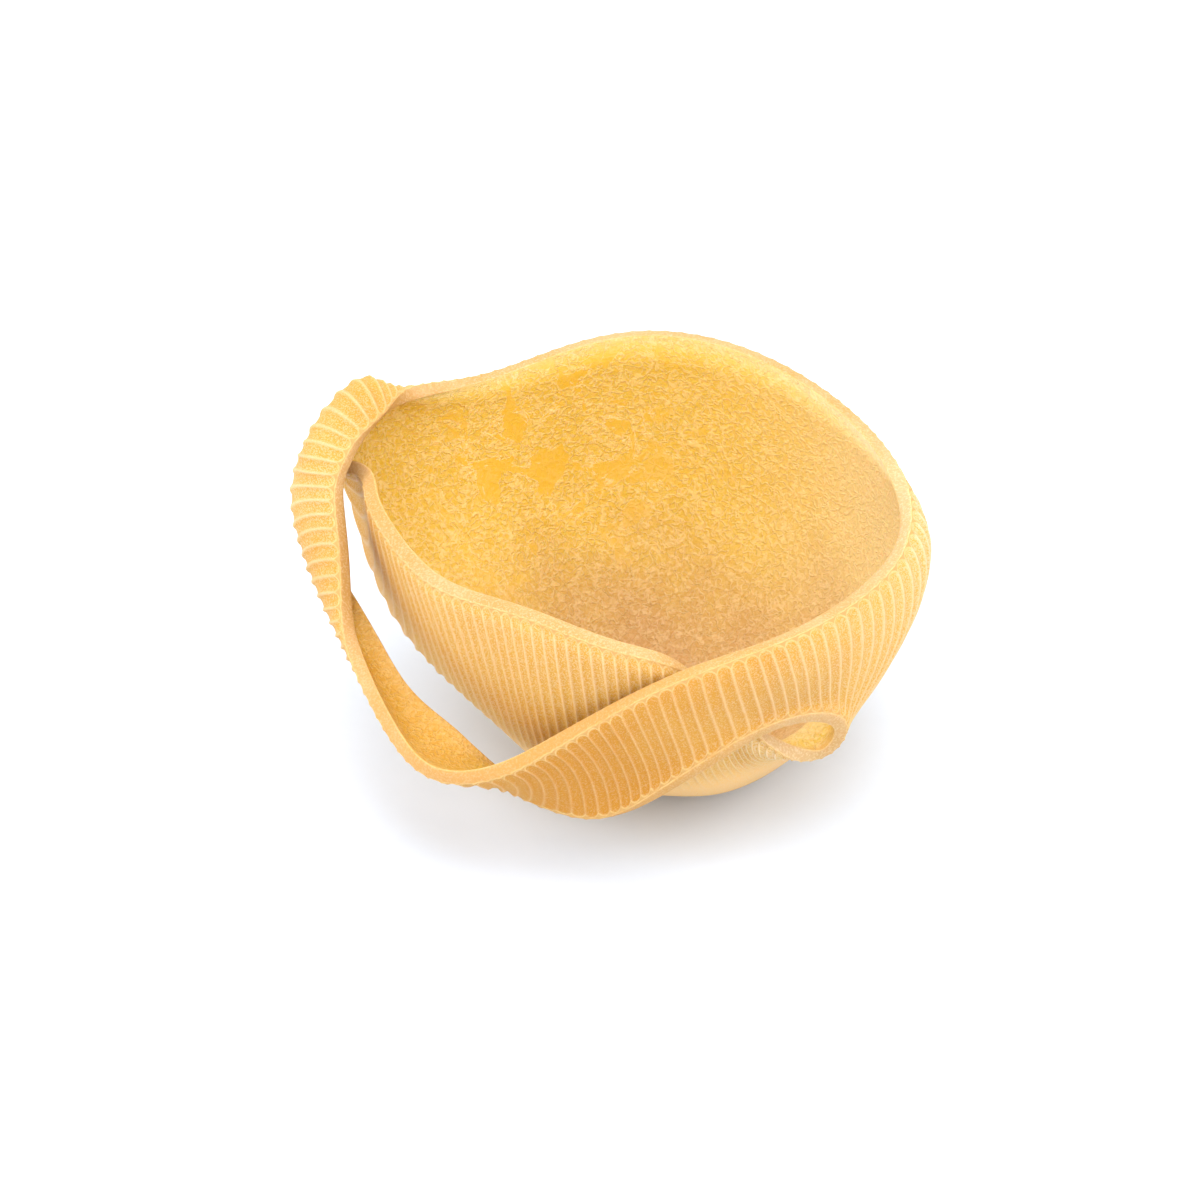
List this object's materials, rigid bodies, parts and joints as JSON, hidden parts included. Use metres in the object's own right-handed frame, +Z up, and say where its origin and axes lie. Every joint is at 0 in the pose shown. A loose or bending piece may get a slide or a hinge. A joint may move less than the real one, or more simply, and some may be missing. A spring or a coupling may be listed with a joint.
{
  "type": "caccavella pasta shell",
  "caption": "Large dried ribbed pasta shell: a smooth open bowl whose ribbed front rim folds over into a curled strap and a narrow slit.",
  "frame": {"origin": "centre of the flat spot under the bowl that the shell stands on", "axes": "+Z up out of the open bowl; -Y towards the folded front with the slit; +X towards the shell's right side"},
  "size_m": [0.1017, 0.089, 0.0538],
  "materials": {
    "dough": "dry matte semolina dough with a faint floury bloom"
  },
  "bodies": {
    "root": {"pasta_shell": "dough"}
  },
  "joints": []
}
